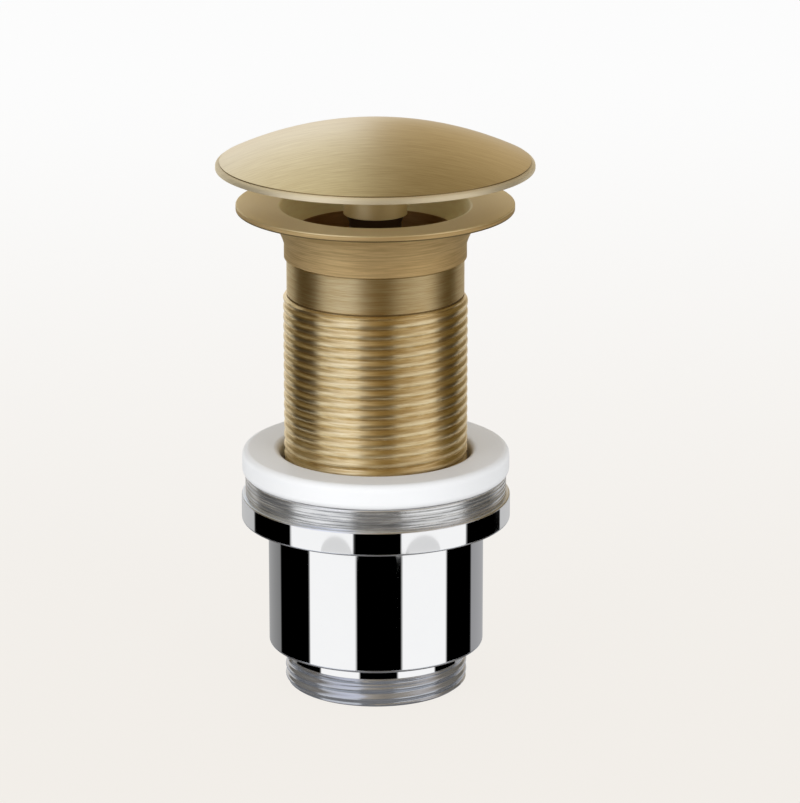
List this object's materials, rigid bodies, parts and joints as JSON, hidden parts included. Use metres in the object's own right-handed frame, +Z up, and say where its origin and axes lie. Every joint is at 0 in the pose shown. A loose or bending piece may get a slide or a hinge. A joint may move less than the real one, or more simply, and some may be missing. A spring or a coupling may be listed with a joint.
{
  "type": "pop up basin waste",
  "caption": "Pop up basin waste: domed cap on a push cartridge in a flanged threaded tube, with a clamping washer and a screw-on lower body with a threaded tail.",
  "frame": {"origin": "centre of the tail's lower end face, which the part stands on", "axes": "+Z up along the common axis of tube, cap and tail; X and Y lie between the spider's arms"},
  "size_m": [0.072, 0.072, 0.1313],
  "materials": {
    "flange_body": "brushed",
    "cap": "brushed",
    "cap_boss": "brushed",
    "spider": "as pressed",
    "end_plug": "turned",
    "lock_washer": "plain",
    "lock_nut": "plain",
    "cartridge_housing": "moulded",
    "guide_bush": "moulded",
    "wiper_ring": "matte",
    "spring": "drawn wire",
    "plunger": "smooth",
    "plunger_stud": "threaded",
    "rotor": "moulded",
    "seal_clip": "spring steel",
    "seal_disc": "moulded",
    "cap_seal": "matte",
    "basin_washer": "smooth",
    "lower_body": "polished, with a turned collar"
  },
  "bodies": {
    "flange_unit": {"flange_body": "flange_body", "spider": "spider", "end_plug": "end_plug", "lock_washer": "lock_washer", "lock_nut": "lock_nut", "cartridge_housing": "cartridge_housing", "guide_bush": "guide_bush", "wiper_ring": "wiper_ring", "spring": "spring"},
    "plunger_unit": {"plunger": "plunger", "plunger_stud": "plunger_stud"},
    "rotor_unit": {"rotor": "rotor"},
    "seal_unit": {"seal_disc": "seal_disc", "cap_seal": "cap_seal"},
    "cap_unit": {"cap": "cap", "cap_boss": "cap_boss", "seal_clip": "seal_clip"},
    "washer_unit": {"basin_washer": "basin_washer"},
    "lower_unit": {"lower_body": "lower_body"}
  },
  "joints": [
    {"name": "plug_press", "type": "slide", "parent": "flange_unit", "child": "plunger_unit", "axis": [0, 0, 1], "range_m": [-0.0077, 0], "stiffness_N_per_m": 500, "springref_m": 0.02, "deforming": ["spring"]},
    {"name": "rotor_turn", "type": "hinge", "parent": "plunger_unit", "child": "rotor_unit", "pos_m": [0, 0, 0.086], "axis": [0, 0, 1], "range_deg": [0, 45.1]},
    {"name": "cap_rise", "type": "slide", "parent": "plunger_unit", "child": "seal_unit", "axis": [0, 0, 1], "range_m": [0, 0.0075]},
    {"name": "cap_turn", "type": "hinge", "parent": "seal_unit", "child": "cap_unit", "pos_m": [0, 0, 0.12], "axis": [0, 0, 1], "range_deg": [-5, 2170]},
    {"name": "clamp_rise", "type": "slide", "parent": "flange_unit", "child": "washer_unit", "axis": [0, 0, 1], "range_m": [-0.00693, 0.02078]},
    {"name": "clamp_turn", "type": "hinge", "parent": "washer_unit", "child": "lower_unit", "pos_m": [0, 0, 0.045], "axis": [0, 0, 1], "range_deg": [-1085, 3250]}
  ],
  "couplings": [
    {"joint": "rotor_turn", "follows": "plug_press", "rad_per_m": -102},
    {"joint": "cap_turn", "follows": "cap_rise", "rad_per_m": 5026.5},
    {"joint": "clamp_turn", "follows": "clamp_rise", "rad_per_m": 2721.2}
  ]
}
